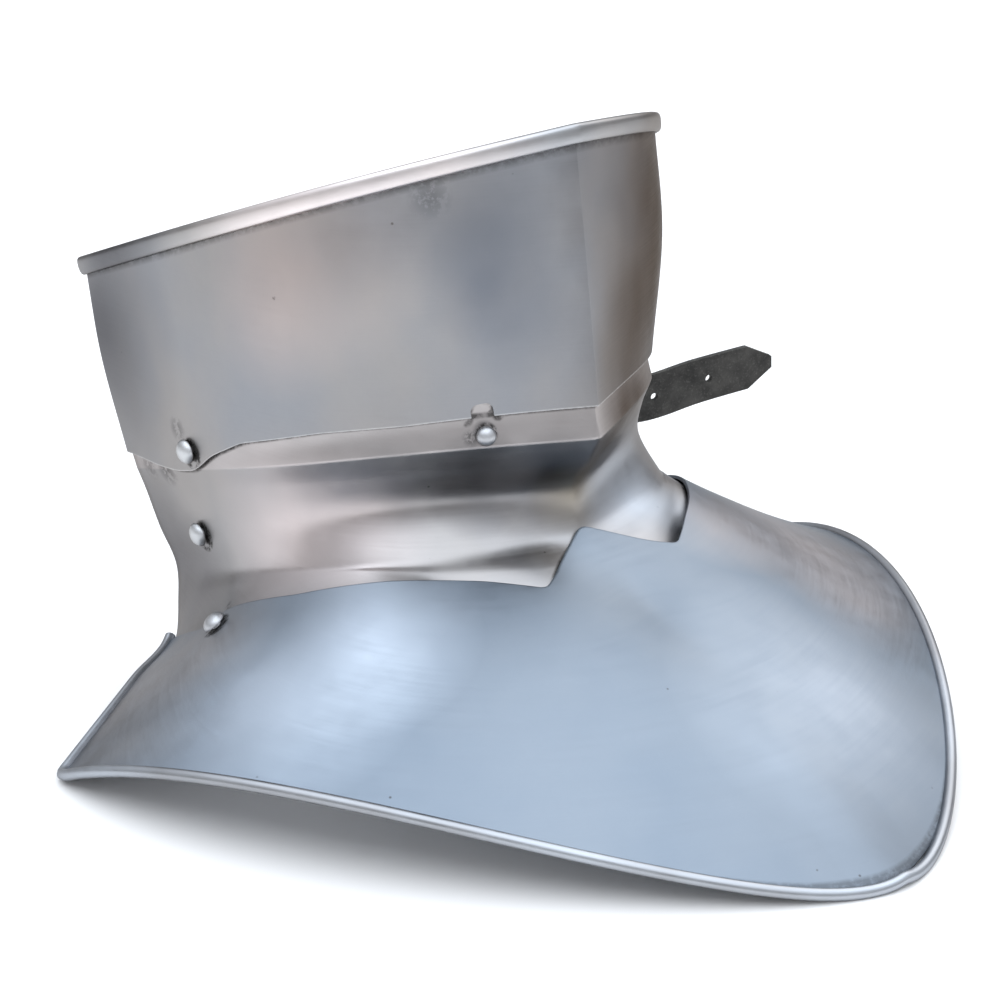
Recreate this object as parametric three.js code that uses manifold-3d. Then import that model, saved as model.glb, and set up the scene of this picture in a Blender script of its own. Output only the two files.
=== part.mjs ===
import * as THREE from "three";
import { mergeVertices } from "three/addons/utils/BufferGeometryUtils.js";
import Module from "manifold-3d";

// A steel bevor: a keeled face plate pivoted on a neck plate, and a gorget plate that spreads
// over the chest and shoulders. Millimetres, +Z up, front towards -Y, the wearer's left is +X.
const wasm = await Module();
wasm.setup();

// Driving sizes of the plates
const plateWall = 1.5;
const plateGap = 0.5;
const lapGap = 0.8;
const jawHalfWidth = 100;
const keelReach = 100;
const rimHeight = 234;
const bibHalfWidth = 187;
const bibReach = 262;
const bibCrown = 5;
const rimRollHeight = 7.6;
const rimRollDepth = 4.6;
const rimRollInside = 0.4;
const rimRollOverhang = 1.5;
const bibRoll = 4.6;
const bibRollSink = 0.1;

// Driving sizes of the fastenings
const rivetHead = 10;
const rivetDome = 3.4;
const rivetShank = 4.5;
const rivetTail = 8;
const rivetTailHeight = 1.4;
const seatGap = 0.4;
const holeClearance = 0.35;
const studHead = 7.7;
const studDome = 3;
const studShank = 4;
const studStandOff = 3;
const studFlange = 7.5;
const studFlangeHeight = 1.2;
const notchWidth = 8.7;
const notchLength = 16;
const dropAngle = THREE.MathUtils.degToRad(4);

// Driving sizes of the strap and its buckle
const strapWidth = 22;
const strapWall = 2.8;
const strapTip = 14;
const strapTipWidth = 5.5;
const strapHole = 3.6;
const strapHoleFirst = 36;
const strapHolePitch = 29.5;
const buckleWidth = 26;
const buckleFrame = 17;
const buckleBar = 3;
const buckleTab = 14;
const buckleWall = 2;
const buckleGap = 1.2;

// Mesh fineness
const sideColumns = 22;
const plateRows = 9;
const strapSteps = 26;
const strapHoleSides = 10;
const domeSteps = 5;
const rollSides = 4;
const roundSides = 14;
const pinReach = 12;

// Rings of the outer faces, each a cubic curve from the keel to the rear edge of one side.
// A row holds the keel [y, z], the end of the flat beside it, the cheek and the rear [x, y, z].
// On the jaw and neck, x is a share of jawHalfWidth, y of keelReach and z of rimHeight.
const faceRings = [
  { keel: [-0.83, 0.998], flat: [0.6, -0.7, 0.974], cheek: [1.07, -0.55, 0.945], rear: [1, 1.01, 0.682] },
  { keel: [-0.9, 0.8], flat: [0.72, -0.66, 0.775], cheek: [1.12, -0.53, 0.745], rear: [0.975, 0.97, 0.52] },
  { keel: [-0.98, 0.56], flat: [0.8, -0.54, 0.555], cheek: [1.12, -0.37, 0.51], rear: [0.93, 0.88, 0.345] },
];
const neckRings = [
  {
    keel: [-0.992, 0.505], flat: [0.82, -0.53, 0.505], cheek: [1.11, -0.36, 0.48], rear: [0.9, 0.86, 0.315],
  },
  {
    keel: [-0.93, 0.457], flat: [0.78, -0.52, 0.46], cheek: [1.08, -0.34, 0.44], rear: [0.875, 0.84, 0.275],
  },
  { keel: [-0.845, 0.4], flat: [0.74, -0.54, 0.4], cheek: [1.05, -0.38, 0.38], rear: [0.855, 0.78, 0.21] },
  { keel: [-0.89, 0.34], flat: [0.74, -0.72, 0.345], cheek: [1.1, -0.52, 0.335], rear: [0.86, 0.7, 0.15] },
  { keel: [-1.22, 0.26], flat: [0.42, -1.12, 0.31], cheek: [1.22, -0.57, 0.4], rear: [0.98, 0.54, 0.05] },
];
// On the gorget's border, x is a share of bibHalfWidth, y of bibReach and z of rimHeight.
const borderRing = {
  keel: [-1, 0], flat: [0.267, -1, -0.055], cheek: [0.985, -0.465, 0.27], rear: [1, -0.01, -0.005],
};

// Edges, as stations of [share of the side, ring number]; rings are counted from the plate's top.
const faceLowerEdge = [
  [0, 2], [0.33, 1.99], [0.51, 1.95], [0.7, 1.95], [0.775, 2.04], [0.82, 2.17], [0.87, 2.17],
  [0.92, 2.12], [1, 1.99],
];
const gorgetUpperEdge = [
  [0, 0], [0.235, 1], [0.35, 0.95], [0.53, 1], [0.7, 1.13], [0.82, 1.08], [0.86, 1.14],
  [0.885, 1.35], [1, 1.1],
];
// The neck plate stands off from the gorget's edge between these shares of a side.
const standOff = { from: 0.1, to: 0.55, depth: 5 };
// Cross-section of the rim's flattened roll, as shares of half its depth and half its height.
const rimProfile = [
  [1, 0.55], [1, -0.55], [0.55, -1], [-0.55, -1], [-1, -0.55], [-1, 0.55], [-0.55, 1], [0.55, 1],
];
// Ring numbers where the border's roll is drawn up the rear edge of a side.
const borderSideRows = [1.02, 1.8, 2.6, 3.3, 3.9];
// The gorget plate's rows crowd towards its upper edge by this power.
const gorgetEase = 1.5;
// Where the neck plate starts behind the face plate, and ends behind the gorget plate, as the
// outer plate's ring numbers.
const neckStart = 1.7;
const neckEnd = 1.6;

// Where each fastening sits: share of the side and ring number on its outer plate.
const pivotSeat = { s: 0.833, v: 1.98 };
const strapSeat = { s: 0.883, v: 4.16 };
const gorgetSeat = { s: 0.852, v: 1.38 };
const studSeat = { s: -0.175, v: 1.6 };

// The strap inside the neck plate: steps in side share from its rivet, and how far it stands off.
const strapStart = [[-0.03, 0], [0, 0], [0.04, 0.8], [0.075, 2]];
// It turns upright within this share of its length.
const strapTwist = 0.2;
// The strap's free stretch from the rear edge to its tip, as shares of jawHalfWidth, keelReach
// and rimHeight.
const strapRoute = [
  [0.86, 0.96, 0.235], [0.98, 1.07, 0.225], [1.2, 1.07, 0.205], [1.5, 0.95, 0.185], [1.87, 0.8, 0.175],
  [2.16, 0.71, 0.197], [2.57, 0.62, 0.213],
];

const lerp = THREE.MathUtils.lerp;

function scaled(point, scale) {
  return new THREE.Vector3(point[0] * scale[0], point[1] * scale[1], point[2] * scale[2]);
}

function ringCurve(row, scale) {
  const keel = scaled([0, ...row.keel], scale);
  const ends = [row.flat, row.cheek, row.rear].map((point) => scaled(point, scale));
  return new THREE.CubicBezierCurve3(keel, ...ends);
}

// A ring between two others, raised by the crown.
function ringBetween(a, b, share, crown) {
  const points = ["v0", "v1", "v2", "v3"].map((key) => a[key].clone().lerp(b[key], share));
  points[0].z += crown;
  points[1].z += crown;
  return new THREE.CubicBezierCurve3(...points);
}

// The point at side share s (negative on the wearer's right) and ring number v.
function surfaceThrough(rings) {
  const last = rings.length - 1;
  const onCurve = (t, v) => {
    const stations = rings.map((ring) => ring.getPoint(t));
    return new THREE.CatmullRomCurve3(stations, false, "centripetal").getPoint(v / last);
  };
  return (s, v) => {
    const t = Math.abs(s);
    const held = THREE.MathUtils.clamp(v, 0, last);
    const point = onCurve(t, held);
    if (v !== held) {
      const step = 0.05 * Math.sign(v - held);
      const before = onCurve(t, held - step);
      point.lerp(point.clone().multiplyScalar(2).sub(before), (v - held) / step);
    }
    if (s < 0) point.x = -point.x;
    return point;
  };
}

// The outward normal; on the keel it is stretched so that both sides keep their full wall.
function outwardAt(at, s, v) {
  const step = 1e-3;
  const from = s === 0 ? 0 : s - step;
  const along = at(s + step, v).sub(at(from, v));
  const down = at(s, v + step).sub(at(s, v - step));
  const normal = down.cross(along).normalize();
  if (s !== 0) return normal;
  normal.x = 0;
  return normal.divideScalar(normal.lengthSq());
}

function insetSurface(at, depth) {
  return (s, v) => at(s, v).addScaledVector(outwardAt(at, s, v), -depth);
}

// A solid of manifold-3d from a three.js geometry, faces turned outwards.
function toSolid(geometry) {
  const plain = geometry.clone();
  plain.deleteAttribute("normal");
  plain.deleteAttribute("uv");
  const merged = mergeVertices(plain, 1e-4);
  const corners = [...merged.index.array];
  const triVerts = [];
  for (let i = 0; i < corners.length; i += 3) {
    const [a, b, c] = corners.slice(i, i + 3);
    if (a !== b && b !== c && c !== a) triVerts.push(a, b, c);
  }
  const vertProperties = new Float32Array(merged.attributes.position.array);
  const mesh = new wasm.Mesh({ numProp: 3, vertProperties, triVerts: new Uint32Array(triVerts) });
  return new wasm.Manifold(mesh);
}

function toGeometry(solid) {
  const mesh = solid.getMesh();
  const geometry = new THREE.BufferGeometry();
  geometry.setAttribute("position", new THREE.BufferAttribute(new Float32Array(mesh.vertProperties), 3));
  geometry.setIndex(new THREE.BufferAttribute(new Uint32Array(mesh.triVerts), 1));
  return geometry;
}

// A closed solid through strip-shaped sections with as many points each, capped at both ends.
function loft(sections) {
  const count = sections[0].length;
  const positions = sections.flat().flatMap((point) => point.toArray());
  const indices = [];
  for (let i = 0; i + 1 < sections.length; i++) {
    for (let j = 0; j < count; j++) {
      const a = i * count + j;
      const b = i * count + ((j + 1) % count);
      indices.push(a, b, a + count, b, b + count, a + count);
    }
  }
  const end = (sections.length - 1) * count;
  for (let j = 0; j + 1 < count / 2; j++) {
    const k = count - 1 - j;
    indices.push(j, k, j + 1, k, k - 1, j + 1);
    indices.push(end + j, end + j + 1, end + k, end + k, end + j + 1, end + k - 1);
  }
  const geometry = new THREE.BufferGeometry();
  geometry.setAttribute("position", new THREE.Float32BufferAttribute(positions, 3));
  geometry.setIndex(indices);
  return toSolid(geometry);
}

// Reads an edge's ring number at a side share.
function edgeAt(stations, s) {
  const t = Math.abs(s);
  const next = Math.max(1, stations.findIndex((station) => station[0] >= t));
  const [t0, v0] = stations[next - 1];
  const [t1, v1] = stations[next];
  return lerp(v0, v1, (t - t0) / (t1 - t0));
}

// A plate between two edges; an ease over 1 brings its rows closer towards the upper edge.
function sheetSolid(at, upper, lower, ease = 1) {
  const sections = [];
  for (let i = -sideColumns; i <= sideColumns; i++) {
    const s = i / sideColumns;
    const outer = [];
    const inner = [];
    for (let j = 0; j <= plateRows; j++) {
      const v = lerp(upper(s), lower(s), (j / plateRows) ** ease);
      const point = at(s, v);
      outer.push(point);
      inner.unshift(point.clone().addScaledVector(outwardAt(at, s, v), -plateWall));
    }
    sections.push([...outer, ...inner]);
  }
  return loft(sections);
}

// A round roll, swept along its centre line.
function rollSolid(centres, diameter) {
  const circle = new THREE.Shape();
  circle.absarc(0, 0, diameter / 2, 0, 2 * Math.PI);
  const path = new THREE.CatmullRomCurve3(centres, false, "centripetal");
  const steps = Math.round(0.75 * centres.length);
  const options = { steps, curveSegments: rollSides, extrudePath: path };
  return toSolid(new THREE.ExtrudeGeometry(circle, options));
}

// Rings and surfaces of the three plates
const jawScale = [jawHalfWidth, keelReach, rimHeight];
const bibScale = [bibHalfWidth, bibReach, rimHeight];
const faceAt = surfaceThrough(faceRings.map((row) => ringCurve(row, jawScale)));
const tuckedAt = insetSurface(faceAt, plateWall + plateGap);

function fittedRing(at, v) {
  return { getPoint: (t) => at(t, v) };
}

const neckCurves = neckRings.map((row) => ringCurve(row, jawScale));
const [flareStart, flareEnd] = neckCurves.slice(-2);
const border = ringCurve(borderRing, bibScale);
const gorgetAt = surfaceThrough([
  flareStart,
  flareEnd,
  ringBetween(flareEnd, border, 0.33, bibCrown),
  ringBetween(flareEnd, border, 0.67, bibCrown),
  border,
]);
const gorgetLast = 4;
const lappedAt = insetSurface(gorgetAt, plateWall + lapGap);

// The lapped ring v of the neck plate, sunk by a share of the stand-off.
function sunkRing(v, share) {
  const span = standOff.to - standOff.from;
  const depthAt = (t) => {
    const u = THREE.MathUtils.clamp((t - standOff.from) / span, 0, 1);
    return share * standOff.depth * Math.sin(Math.PI * u) ** 2;
  };
  const pointAt = (t) => lappedAt(t, v).addScaledVector(outwardAt(lappedAt, t, v), -depthAt(t));
  return { getPoint: pointAt };
}

const neckAt = surfaceThrough([
  fittedRing(tuckedAt, neckStart),
  fittedRing(tuckedAt, 2),
  ...neckCurves.slice(0, -2),
  sunkRing(0, 0),
  sunkRing(0.5, 0.4),
  sunkRing(1, 1),
  sunkRing(1.3, 1),
  sunkRing(neckEnd, 1),
]);
const neckLast = 9;

// The flattened roll of the rim, a little proud of the plate inside and well proud of it outside.
function rimRollSolid() {
  const lift = rimRollDepth / 2 - plateWall - rimRollInside;
  const step = 1e-3;
  const sectionAt = (s, beyond) => {
    const along = faceAt(s + step, 0).sub(faceAt(s - step, 0)).normalize();
    const out = outwardAt(faceAt, s, 0);
    const centre = faceAt(s, 0).addScaledVector(out, lift).addScaledVector(along, beyond);
    const up = faceAt(s, 0).sub(faceAt(s, step));
    up.addScaledVector(along, -up.dot(along)).normalize();
    return rimProfile.map(([a, b]) => centre.clone()
      .addScaledVector(out, (a * rimRollDepth) / 2)
      .addScaledVector(up, (b * rimRollHeight) / 2));
  };
  // Stations lie between the plate's own columns, apart from the one on the keel.
  const half = [...Array(sideColumns).keys()].map((i) => (i + 0.5) / sideColumns);
  const stations = [...half.map((s) => -s).reverse(), 0, ...half];
  const sections = stations.map((s) => sectionAt(s, 0));
  return loft([sectionAt(-1, -rimRollOverhang), ...sections, sectionAt(1, rimRollOverhang)]);
}

function borderPath() {
  const centreAt = (s, v) => gorgetAt(s, v).addScaledVector(outwardAt(gorgetAt, s, v), -bibRollSink);
  const right = borderSideRows.map((v) => centreAt(-1, v));
  const left = borderSideRows.map((v) => centreAt(1, v)).reverse();
  const front = [];
  for (let i = 1 - sideColumns; i < sideColumns; i++) {
    front.push(centreAt(i / sideColumns, gorgetLast));
  }
  return [...right, ...front, ...left];
}

// The plates before their holes are cut
let facePlate = sheetSolid(faceAt, () => 0, (s) => edgeAt(faceLowerEdge, s));
let neckPlate = sheetSolid(neckAt, () => 0, () => neckLast);
const gorgetTop = (s) => edgeAt(gorgetUpperEdge, s);
let gorgetPlate = sheetSolid(gorgetAt, gorgetTop, () => gorgetLast, gorgetEase);
facePlate = facePlate.add(rimRollSolid());
gorgetPlate = gorgetPlate.add(rollSolid(borderPath(), bibRoll));

// A frame with its origin on an outer face and +Y along the outward normal.
function seatOn(at, s, v) {
  const normal = outwardAt(at, s, v);
  const turn = new THREE.Quaternion().setFromUnitVectors(new THREE.Vector3(0, 1, 0), normal);
  return new THREE.Matrix4().compose(at(s, v), turn, new THREE.Vector3(1, 1, 1));
}

function turned(profile, seat, sides = roundSides) {
  const points = profile.map(([r, h]) => new THREE.Vector2(r, h));
  return toSolid(new THREE.LatheGeometry(points, sides).applyMatrix4(seat));
}

// A dome's profile from its rim up to the axis.
function domeProfile(diameter, height, base) {
  const points = [];
  for (let i = 0; i <= domeSteps; i++) {
    const angle = (i / domeSteps) * (Math.PI / 2);
    points.push([(diameter / 2) * Math.cos(angle), base + height * Math.sin(angle)]);
  }
  points[domeSteps][0] = 0;
  return points;
}

// Where the solids start and end along a seat's axis, within a radius of it.
function extentAt(solids, seat, radius) {
  const inward = new THREE.Vector3(0, -1, 0).transformDirection(seat);
  const material = new THREE.MeshBasicMaterial({ side: THREE.DoubleSide });
  const meshes = solids.map((solid) => new THREE.Mesh(toGeometry(solid), material));
  const heights = [];
  for (let i = 0; i < roundSides; i++) {
    const angle = (i / roundSides) * 2 * Math.PI;
    const origin = new THREE.Vector3(radius * Math.cos(angle), pinReach, radius * Math.sin(angle));
    const ray = new THREE.Raycaster(origin.applyMatrix4(seat), inward, 0, 2 * pinReach);
    heights.push(...ray.intersectObjects(meshes).map((hit) => pinReach - hit.distance));
  }
  return { top: Math.max(...heights), bottom: Math.min(...heights) };
}

// A rivet through the solids: a dome outside, a plain tail inside.
function rivetSolid(seat, solids) {
  const over = extentAt(solids, seat, rivetHead / 2).top + seatGap;
  const under = extentAt(solids, seat, rivetTail / 2).bottom - seatGap;
  return turned([
    [0, under - rivetTailHeight],
    [rivetTail / 2, under - rivetTailHeight],
    [rivetTail / 2, under],
    [rivetShank / 2, under],
    [rivetShank / 2, over],
    ...domeProfile(rivetHead, rivetDome, over),
  ], seat);
}

function holeSolid(seat, diameter) {
  const radius = diameter / 2 + holeClearance;
  return turned([[0, -pinReach], [radius, -pinReach], [radius, pinReach], [0, pinReach]], seat);
}

// Strap: riveted inside the neck plate's left side, out past its rear edge, then sideways.
function strapPath() {
  const depth = plateWall + 2 * plateGap + strapWall / 2;
  const inside = strapStart.map(([step, off]) => {
    return insetSurface(neckAt, depth + off)(strapSeat.s + step, strapSeat.v);
  });
  const free = strapRoute.map((point) => scaled(point, jawScale));
  return new THREE.CatmullRomCurve3([...inside, ...free]);
}

function strapSolid() {
  const path = strapPath();
  const length = path.getLength();
  const wallUp = neckAt(strapSeat.s, strapSeat.v - 0.1);
  wallUp.sub(neckAt(strapSeat.s, strapSeat.v + 0.1)).normalize();
  const straight = new THREE.Vector3(0, 0, 1);
  const upAt = (share) => wallUp.clone().lerp(straight, Math.min(1, share / strapTwist));
  const frameAt = (share) => {
    const along = path.getTangentAt(share);
    const up = upAt(share);
    const across = up.addScaledVector(along, -up.dot(along)).normalize();
    return { along, across, through: along.clone().cross(across) };
  };
  const full = 1 - strapTip / length;
  const shares = [...Array(strapSteps + 1).keys()].map((i) => (i / strapSteps) * full);
  shares.push(1 - (0.02 * strapTip) / length);
  const sections = shares.map((share, i) => {
    const centre = path.getPointAt(share);
    const { across, through } = frameAt(share);
    const half = (i > strapSteps ? strapTipWidth : strapWidth) / 2;
    const corner = (a, b) => centre.clone()
      .addScaledVector(across, a * half)
      .addScaledVector(through, (b * strapWall) / 2);
    return [corner(1, 1), corner(-1, 1), corner(-1, -1), corner(1, -1)];
  });
  let solid = loft(sections);
  const holeShares = [0, 1].map((n) => 1 - (strapHoleFirst + n * strapHolePitch) / length);
  for (const share of holeShares) {
    const { through } = frameAt(share);
    const turn = new THREE.Quaternion().setFromUnitVectors(new THREE.Vector3(0, 1, 0), through);
    const seat = new THREE.Matrix4().compose(path.getPointAt(share), turn, new THREE.Vector3(1, 1, 1));
    const reach = 2 * strapWall;
    const radius = strapHole / 2;
    const punch = [[0, -reach], [radius, -reach], [radius, reach], [0, reach]];
    solid = solid.subtract(turned(punch, seat, strapHoleSides));
  }
  return solid;
}

// Buckle: one plain piece, riveted inside the neck plate's right side.
function buckleSolid(seat) {
  const outline = new THREE.Shape();
  const half = buckleWidth / 2;
  const tabHalf = strapWidth / 2 - buckleBar;
  const start = -buckleTab / 2;
  const shoulder = buckleTab / 2;
  const end = shoulder + buckleFrame;
  outline.moveTo(start, -tabHalf);
  outline.lineTo(shoulder, -tabHalf);
  outline.lineTo(shoulder, -half);
  outline.lineTo(end, -half);
  outline.lineTo(end, half);
  outline.lineTo(shoulder, half);
  outline.lineTo(shoulder, tabHalf);
  outline.lineTo(start, tabHalf);
  const tongueHalf = buckleBar / 2;
  for (const side of [-1, 1]) {
    const window = new THREE.Path();
    const inner = side * tongueHalf;
    const outer = side * (half - buckleBar);
    window.moveTo(shoulder + buckleBar, inner);
    window.lineTo(end - buckleBar, inner);
    window.lineTo(end - buckleBar, outer);
    window.lineTo(shoulder + buckleBar, outer);
    window.closePath();
    outline.holes.push(window);
  }
  const plate = new THREE.ExtrudeGeometry(outline, { depth: buckleWall, bevelEnabled: false });
  return toSolid(plate.applyMatrix4(seat));
}

// The buckle's plane: +X to the rear, +Z into the hollow, its back just off the wall.
function buckleSeat() {
  const wallAt = insetSurface(neckAt, plateWall + buckleGap);
  const side = -strapSeat.s;
  const rear = wallAt(-1, strapSeat.v).sub(wallAt(side, strapSeat.v)).normalize();
  const inward = outwardAt(neckAt, side, strapSeat.v).negate();
  inward.addScaledVector(rear, -rear.dot(inward)).normalize();
  const basis = new THREE.Matrix4().makeBasis(rear, inward.clone().cross(rear), inward);
  return basis.setPosition(wallAt(side, strapSeat.v));
}

let strap = strapSolid();
let buckle = buckleSolid(buckleSeat());

// Rivets of both sides and their holes
const rivets = [];
for (const [side, name] of [[-1, "right"], [1, "left"]]) {
  const pivot = seatOn(faceAt, side * pivotSeat.s, pivotSeat.v);
  const holder = seatOn(neckAt, side * strapSeat.s, strapSeat.v);
  const lower = seatOn(gorgetAt, side * gorgetSeat.s, gorgetSeat.v);
  const held = side < 0 ? buckle : strap;
  const add = (kind, seat, solids) => {
    rivets.push({ name: kind + "_rivet_" + name, seat, solid: rivetSolid(seat, solids) });
  };
  add("pivot", pivot, [facePlate, neckPlate]);
  add("strap", holder, [neckPlate, held]);
  add("gorget", lower, [gorgetPlate, neckPlate]);
}
for (const { name, seat } of rivets) {
  const hole = holeSolid(seat, rivetShank);
  if (name.startsWith("pivot")) facePlate = facePlate.subtract(hole);
  if (name.startsWith("gorget")) gorgetPlate = gorgetPlate.subtract(hole);
  if (name === "strap_rivet_left") strap = strap.subtract(hole);
  if (name === "strap_rivet_right") buckle = buckle.subtract(hole);
  neckPlate = neckPlate.subtract(hole);
}

// Catch stud: its head outside the neck plate, its flange inside
const stud = seatOn(neckAt, studSeat.s, studSeat.v);
const studDepth = seatGap - extentAt([neckPlate], stud, studFlange / 2).bottom;
const studSolid = turned([
  [0, -studDepth - studFlangeHeight],
  [studFlange / 2, -studDepth - studFlangeHeight],
  [studFlange / 2, -studDepth],
  [studShank / 2, -studDepth],
  [studShank / 2, studStandOff],
  ...domeProfile(studHead, studDome, studStandOff),
], stud);
neckPlate = neckPlate.subtract(holeSolid(stud, studShank));

// Notch: a slot that comes to rest round the stud when the face plate drops
function notchSolid() {
  const pivotLine = faceAt(pivotSeat.s, pivotSeat.v);
  const toPivot = new THREE.Matrix4().makeTranslation(0, pivotLine.y, pivotLine.z);
  const raised = toPivot.clone().multiply(new THREE.Matrix4().makeRotationX(-dropAngle));
  raised.multiply(toPivot.invert());
  const centre = new THREE.Vector3().setFromMatrixPosition(stud);
  const normal = new THREE.Vector3(0, 1, 0).transformDirection(stud);
  const down = new THREE.Vector3(0, centre.z - pivotLine.z, centre.y - pivotLine.y);
  down.y = -down.y;
  down.addScaledVector(normal, -down.dot(normal)).normalize();
  const slot = new THREE.Shape();
  const radius = notchWidth / 2;
  slot.moveTo(-radius, -notchLength);
  slot.lineTo(radius, -notchLength);
  slot.absarc(0, 0, radius, 0, Math.PI);
  slot.closePath();
  const options = { depth: notchLength, bevelEnabled: false, curveSegments: roundSides / 2 };
  const geometry = new THREE.ExtrudeGeometry(slot, options).translate(0, 0, -notchLength / 2);
  const up = down.clone().negate();
  const basis = new THREE.Matrix4().makeBasis(up.clone().cross(normal), up, normal).setPosition(centre);
  return toSolid(geometry.applyMatrix4(raised.multiply(basis)));
}

facePlate = facePlate.subtract(notchSolid());

// Nodes
const bevor = new THREE.Group();
bevor.name = "bevor";

function steel(color, roughness) {
  return new THREE.MeshStandardMaterial({ color, roughness, metalness: 1 });
}

function addPiece(name, solid, material) {
  const mesh = new THREE.Mesh(toGeometry(solid), material);
  mesh.name = name;
  bevor.add(mesh);
}

addPiece("face_plate", facePlate, steel(0x9c9ea2, 0.34));
addPiece("neck_plate", neckPlate, steel(0x93959a, 0.36));
addPiece("gorget_plate", gorgetPlate, steel(0xa9b3c0, 0.34));
for (const { name, solid } of rivets) addPiece(name, solid, steel(0xc4c4c2, 0.25));
addPiece("catch_stud", studSolid, steel(0xbdbdbb, 0.28));
addPiece("strap", strap, new THREE.MeshStandardMaterial({ color: 0x393632, roughness: 0.9 }));
addPiece("strap_buckle", buckle, steel(0xa8a6a2, 0.35));

// The frame: origin under the middle of the bounding box, resting on z = 0
const bounds = new THREE.Box3().setFromObject(bevor);
const middle = bounds.getCenter(new THREE.Vector3());
bevor.position.set(-middle.x, -middle.y, -bounds.min.z);

export default bevor;
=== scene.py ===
# %% [markdown]
# A bevor is the steel guard of chin and neck. This one has a keeled face plate that pivots on a
# neck plate, and a gorget that spreads over the chest. The imported model comes in first.

# %% The imported model
import math

import bpy
import numpy as np
from mathutils import Matrix, Vector
from mathutils.kdtree import KDTree


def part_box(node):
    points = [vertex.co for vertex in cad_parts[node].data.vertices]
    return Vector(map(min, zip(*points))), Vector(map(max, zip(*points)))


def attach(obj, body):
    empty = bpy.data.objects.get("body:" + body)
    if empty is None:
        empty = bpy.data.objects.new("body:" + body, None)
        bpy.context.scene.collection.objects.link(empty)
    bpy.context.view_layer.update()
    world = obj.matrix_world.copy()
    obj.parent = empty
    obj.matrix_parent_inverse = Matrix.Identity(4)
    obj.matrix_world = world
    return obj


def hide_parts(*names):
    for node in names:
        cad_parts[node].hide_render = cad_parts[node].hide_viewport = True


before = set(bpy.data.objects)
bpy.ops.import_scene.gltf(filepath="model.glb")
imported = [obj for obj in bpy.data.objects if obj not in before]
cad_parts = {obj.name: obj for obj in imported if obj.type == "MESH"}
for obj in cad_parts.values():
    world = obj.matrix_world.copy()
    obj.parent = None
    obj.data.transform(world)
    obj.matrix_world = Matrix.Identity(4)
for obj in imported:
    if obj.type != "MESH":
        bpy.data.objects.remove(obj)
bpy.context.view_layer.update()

# %% [markdown]
# The plates are drawn as rings, like the hoops of a barrel: each ring is one curve from the keel
# in front to the rear edge of a side, and the plate runs smoothly through its rings. The rings
# are drawn in millimetres about the neck, so they are moved to the model's frame in one place.

# %% Rings of the plates
WALL, LAP_GAP, TUCK_GAP = 1.5, 0.8, 0.5
JAW = np.array([100.0, 100.0, 234.0])
BIB = np.array([187.0, 262.0, 234.0])
BIB_CROWN = 5
STAND_OFF, STAND_FROM, STAND_RUN = 5, 0.1, 0.45
FRAME_SHIFT = np.array([-34.437, 77.142, 3.507])
FACE_RINGS = [
    [(0, -0.83, 0.998), (0.6, -0.7, 0.974), (1.07, -0.55, 0.945), (1, 1.01, 0.682)],
    [(0, -0.9, 0.8), (0.72, -0.66, 0.775), (1.12, -0.53, 0.745), (0.975, 0.97, 0.52)],
    [(0, -0.98, 0.56), (0.8, -0.54, 0.555), (1.12, -0.37, 0.51), (0.93, 0.88, 0.345)],
]
NECK_RINGS = [
    [(0, -0.992, 0.505), (0.82, -0.53, 0.505), (1.11, -0.36, 0.48), (0.9, 0.86, 0.315)],
    [(0, -0.93, 0.457), (0.78, -0.52, 0.46), (1.08, -0.34, 0.44), (0.875, 0.84, 0.275)],
    [(0, -0.845, 0.4), (0.74, -0.54, 0.4), (1.05, -0.38, 0.38), (0.855, 0.78, 0.21)],
]
FLARE_START = [(0, -0.89, 0.34), (0.74, -0.72, 0.345), (1.1, -0.52, 0.335), (0.86, 0.7, 0.15)]
FLARE_END = [(0, -1.22, 0.26), (0.42, -1.12, 0.31), (1.22, -0.57, 0.4), (0.98, 0.54, 0.05)]
BORDER = [(0, -1, 0), (0.267, -1, -0.055), (0.985, -0.465, 0.27), (1, -0.01, -0.005)]
neck_low, neck_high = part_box("neck_plate")
print("middle of the neck plate:", (neck_low.x + neck_high.x) * 500, "mm, drawn at", FRAME_SHIFT[0])


# %% [markdown]
# Between two rings the plate follows a Catmull-Rom curve, the same kind that the solids use. A
# point of a plate is asked for by its share of the side, from -1 on the right to 1 on the left,
# and by its ring number. Everything works on whole arrays, so a fine grid costs no more code. The
# neck plate turns in sharply under its upper band, so its curve is broken there into two.

# %% Smooth surfaces through rings
def ring_curve(corners, scale):
    p = np.array(corners) * scale
    return lambda t: (((1 - t) ** 3)[:, None] * p[0] + (3 * (1 - t) ** 2 * t)[:, None] * p[1]
                      + (3 * (1 - t) * t ** 2)[:, None] * p[2] + (t ** 3)[:, None] * p[3])


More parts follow.
